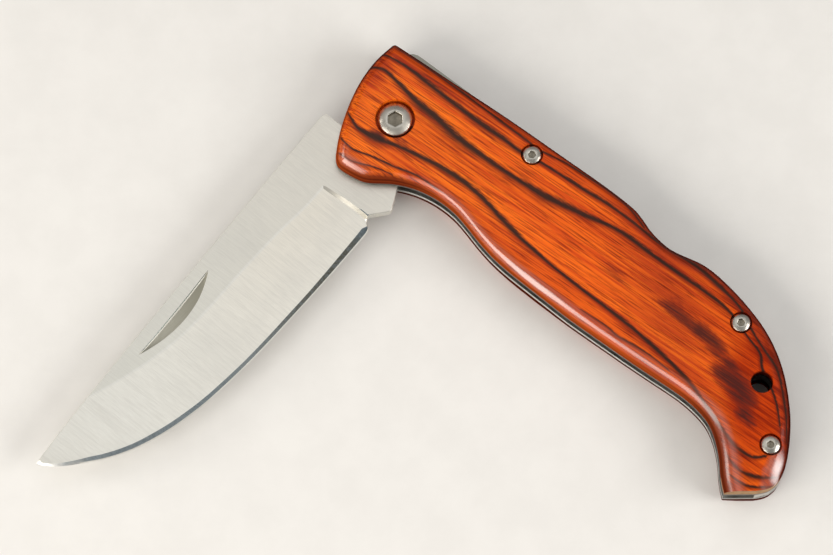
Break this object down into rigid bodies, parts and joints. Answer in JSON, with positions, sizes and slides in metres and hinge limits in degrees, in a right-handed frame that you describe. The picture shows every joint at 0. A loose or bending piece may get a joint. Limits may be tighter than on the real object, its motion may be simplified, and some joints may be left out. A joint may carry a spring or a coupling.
{
  "type": "folding pocket knife",
  "caption": "Lockback folding knife with laminated wood scales, steel liners and a drop-point blade with a nail nick, shown half open.",
  "frame": {"origin": "middle of the footprint with the blade half open, on the surface that the knife lies on", "axes": "+Z out of the front scale, +X from the blade tip towards the butt, +Y from the butt towards the pivot end"},
  "size_m": [0.1604, 0.0988, 0.0134],
  "materials": {
    "scale_wood": "glossy laminated dyed wood",
    "blade_steel": "satin, long fine grinding marks",
    "liner_steel": "satin",
    "bar_steel": "satin",
    "spring_steel": "plain",
    "screw_steel": "polished",
    "washer_bronze": "plain"
  },
  "bodies": {
    "handle": {"back_scale": "scale_wood", "back_liner": "liner_steel", "back_washer": "washer_bronze", "front_washer": "washer_bronze", "lock_spring": "spring_steel", "back_spacer": "liner_steel", "front_liner": "liner_steel", "front_scale": "scale_wood", "pivot_barrel": "screw_steel", "front_pivot_screw": "screw_steel", "back_pivot_screw": "screw_steel", "lock_bar_barrel": "screw_steel", "front_lock_bar_screw": "screw_steel", "back_lock_bar_screw": "screw_steel", "upper_rear_barrel": "screw_steel", "front_upper_rear_screw": "screw_steel", "back_upper_rear_screw": "screw_steel", "lower_rear_barrel": "screw_steel", "front_lower_rear_screw": "screw_steel", "back_lower_rear_screw": "screw_steel"},
    "blade": {"blade": "blade_steel"},
    "lock_bar": {"lock_bar": "bar_steel"}
  },
  "joints": [
    {"name": "blade_pivot", "type": "hinge", "parent": "handle", "child": "blade", "pos_m": [-0.00391, 0.03219, 0.0067], "axis": [0, 0, 1], "range_deg": [-86, 88.5]},
    {"name": "lock_bar_rock", "type": "hinge", "parent": "handle", "child": "lock_bar", "pos_m": [0.02551, 0.02423, 0.0067], "axis": [0, 0, -1], "range_deg": [0, 1.5], "stiffness_Nm_per_rad": 1.5, "springref_deg": -11.46, "deforming": ["lock_spring"]}
  ]
}
